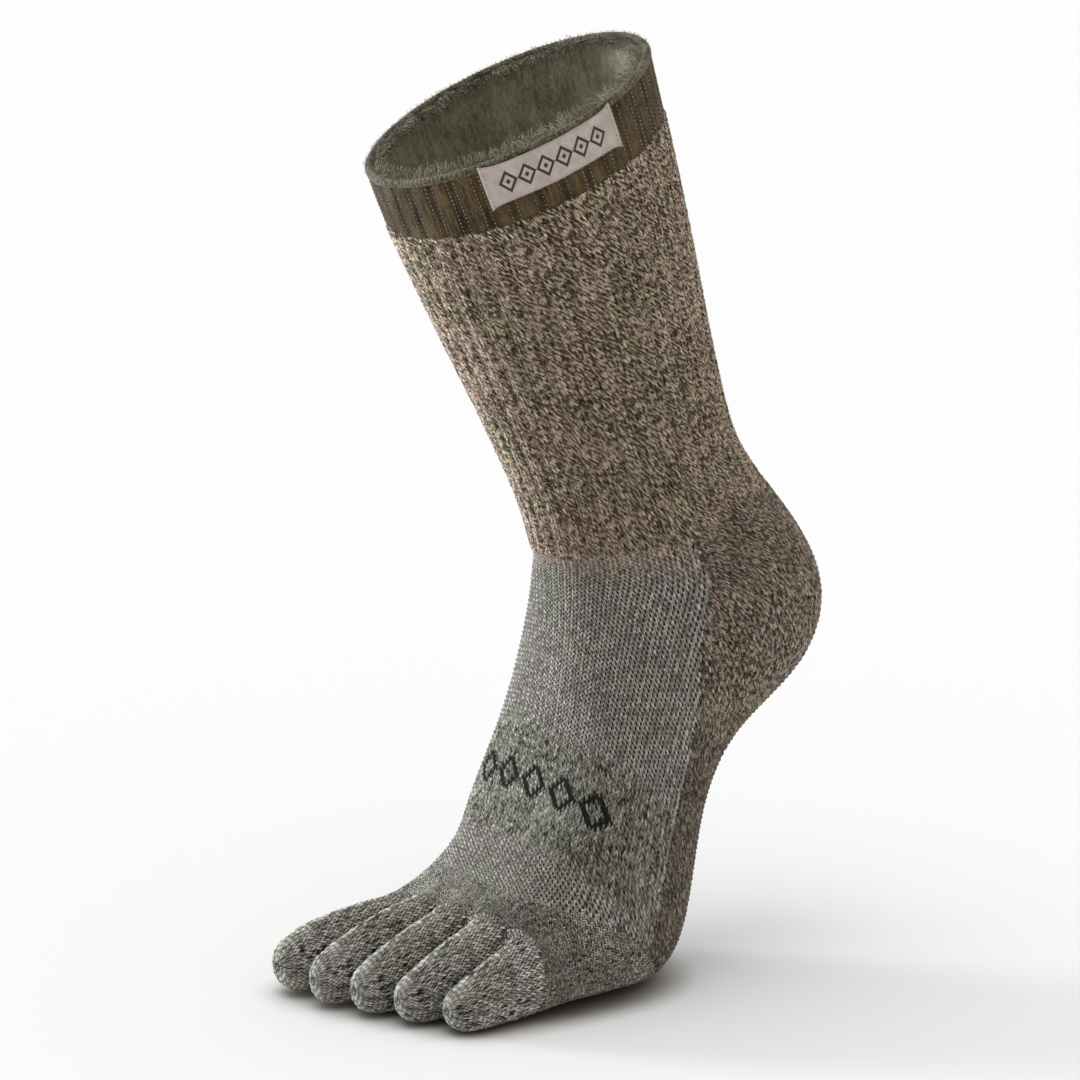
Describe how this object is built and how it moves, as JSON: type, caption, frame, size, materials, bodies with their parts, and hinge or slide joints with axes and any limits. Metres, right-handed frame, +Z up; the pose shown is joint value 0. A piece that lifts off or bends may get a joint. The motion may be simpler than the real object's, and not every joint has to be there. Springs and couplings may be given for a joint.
{
  "type": "toe sock",
  "caption": "Crew-height knitted sock with a separate pocket for each toe, ribbed leg, reinforced heel and a dark ribbed cuff band, holding the form of a foot on its toes.",
  "frame": {"origin": "inside face of the knitted sole, under the ball of the foot, where the foot bears on it", "axes": "+X out past the toes, +Y to the little-toe side, +Z up towards the cuff"},
  "size_m": [0.2194, 0.1096, 0.3532],
  "materials": {
    "cuff_rib": "dark olive-brown ribbed knit with fine light stitch lines",
    "leg_rib": "cream, grey and dark olive marl in broad lengthwise ribs",
    "instep_knit": "lighter grey marl with small regular dark dots",
    "heel_terry": "darker marl, plain knit, cushioned inside",
    "sole_terry": "dark grey marl, plain knit, cushioned inside",
    "toe_knit": "grey and black marl in fine plain knit",
    "label_woven": "light grey-beige woven tape, sewn at both ends"
  },
  "bodies": {
    "root": {"cuff": "cuff_rib", "leg": "leg_rib", "instep": "instep_knit", "heel": "heel_terry", "sole": "sole_terry", "forefoot": "toe_knit", "toe_big": "toe_knit", "toe_second": "toe_knit", "toe_third": "toe_knit", "toe_fourth": "toe_knit", "toe_little": "toe_knit", "label": "label_woven"}
  },
  "joints": []
}
